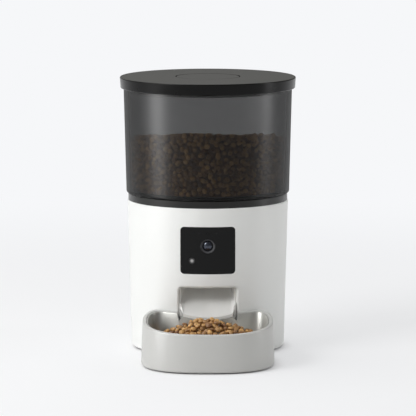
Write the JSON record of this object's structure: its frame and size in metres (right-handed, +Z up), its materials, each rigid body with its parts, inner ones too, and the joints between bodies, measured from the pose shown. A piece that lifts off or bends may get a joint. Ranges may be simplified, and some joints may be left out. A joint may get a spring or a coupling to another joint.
{
  "type": "automatic pet feeder",
  "caption": "Automatic pet feeder with a camera: lidded smoked tank on a round white housing, geared paddle-wheel dispenser, chute and a pull-out bowl with a lift-out liner.",
  "frame": {"origin": "middle of the whole footprint, on the floor", "axes": "+Z up, -Y to the front where the camera and bowl are, +X to the viewer's right"},
  "size_m": [0.19, 0.276, 0.294],
  "materials": {
    "lid_black": "gloss skirt, satin top",
    "lid_inner": "satin",
    "seal_silicone": "matt",
    "desiccant_white": "matt",
    "smoked_clear": "clear, smoked",
    "collar_black": "gloss",
    "funnel_grey": "satin",
    "housing_white": "satin",
    "inner_white": "matt",
    "screw_steel": "plated",
    "bush_brass": "plain",
    "motor_can": "plated",
    "gear_white": "moulded",
    "paddle_teal": "matt",
    "panel_black": "gloss",
    "lens_glass": "polished",
    "part_black": "matt",
    "board_green": "coated",
    "button_grey": "satin",
    "rubber_dark": "matt",
    "tray_grey": "satin",
    "liner_steel": "satin"
  },
  "bodies": {
    "base": {"base_shell": "housing_white", "base_deck": "inner_white", "deck_screws": "screw_steel", "rotor_chamber": "inner_white", "outlet_guard": "funnel_grey", "food_chute": "inner_white", "gear_cover": "inner_white", "gear_case": "inner_white", "gear_screws": "screw_steel", "idler_axle": "screw_steel", "shaft_bush": "bush_brass", "drive_motor": "motor_can", "motor_screws": "screw_steel", "camera_panel": "panel_black", "lens_bezel": "panel_black", "lens_barrel": "part_black", "camera_lens": "lens_glass", "camera_board": "board_green", "button_switch": "part_black", "microphone_boot": "rubber_dark", "infrared_pipes": "lens_glass", "main_board": "board_green", "speaker": "part_black", "power_socket": "part_black", "food_sensors": "part_black", "base_plate": "housing_white", "base_screws": "screw_steel", "rubber_feet": "rubber_dark", "battery_tray": "part_black", "battery_contacts": "screw_steel", "battery_springs": "screw_steel", "battery_cover": "housing_white", "battery_screw": "screw_steel"},
    "tank": {"food_tank": "smoked_clear", "tank_collar": "collar_black", "hopper_funnel": "funnel_grey"},
    "lid": {"lid_cap": "lid_black", "lid_plug": "lid_inner", "lid_seal": "seal_silicone", "desiccant_box": "desiccant_white"},
    "seal_button": {"lid_button": "lid_black"},
    "desiccant_lid": {"desiccant_cover": "desiccant_white"},
    "rotor": {"output_gear": "gear_white", "rotor_shaft": "screw_steel", "paddle_wheel": "paddle_teal", "stirrer": "paddle_teal", "rotor_knob": "paddle_teal"},
    "idler": {"idler_gear": "gear_white"},
    "pinion": {"motor_pinion": "bush_brass", "motor_shaft": "screw_steel"},
    "feed_key": {"feed_button": "button_grey"},
    "bowl": {"bowl_tray": "tray_grey", "bowl_pads": "rubber_dark"},
    "liner": {"bowl_liner": "liner_steel"}
  },
  "joints": [
    {"name": "tank_lift", "type": "slide", "parent": "base", "child": "tank", "axis": [0, 0, 1], "range_m": [0, 0.09]},
    {"name": "lid_lift", "type": "slide", "parent": "tank", "child": "lid", "axis": [0, 0, 1], "range_m": [0, 0.08]},
    {"name": "seal_button_rise", "type": "slide", "parent": "lid", "child": "seal_button", "axis": [0, 0, 1], "range_m": [0, 0.006]},
    {"name": "desiccant_twist", "type": "hinge", "parent": "lid", "child": "desiccant_lid", "pos_m": [0, 0.043, 0.27], "axis": [0, 0, 1], "range_deg": [0, 30]},
    {"name": "rotor_spin", "type": "hinge", "parent": "base", "child": "rotor", "pos_m": [0, 0.043, 0.1], "axis": [0, 0, 1], "continuous": true},
    {"name": "idler_spin", "type": "hinge", "parent": "base", "child": "idler", "pos_m": [0, 0.068, 0.08], "axis": [0, 0, 1], "continuous": true},
    {"name": "pinion_spin", "type": "hinge", "parent": "base", "child": "pinion", "pos_m": [0, 0.089, 0.074], "axis": [0, 0, 1], "continuous": true},
    {"name": "feed_press", "type": "slide", "parent": "base", "child": "feed_key", "axis": [0, 1, 0], "range_m": [0, 0.0006], "stiffness_N_per_m": 1500},
    {"name": "bowl_pull", "type": "slide", "parent": "base", "child": "bowl", "axis": [0, -1, 0], "range_m": [0, 0.12]},
    {"name": "liner_lift", "type": "slide", "parent": "bowl", "child": "liner", "axis": [0, 0, 1], "range_m": [0, 0.06]}
  ],
  "couplings": [
    {"joint": "idler_spin", "follows": "rotor_spin", "ratio": -2.5714},
    {"joint": "pinion_spin", "follows": "rotor_spin", "ratio": 6.4286}
  ]
}
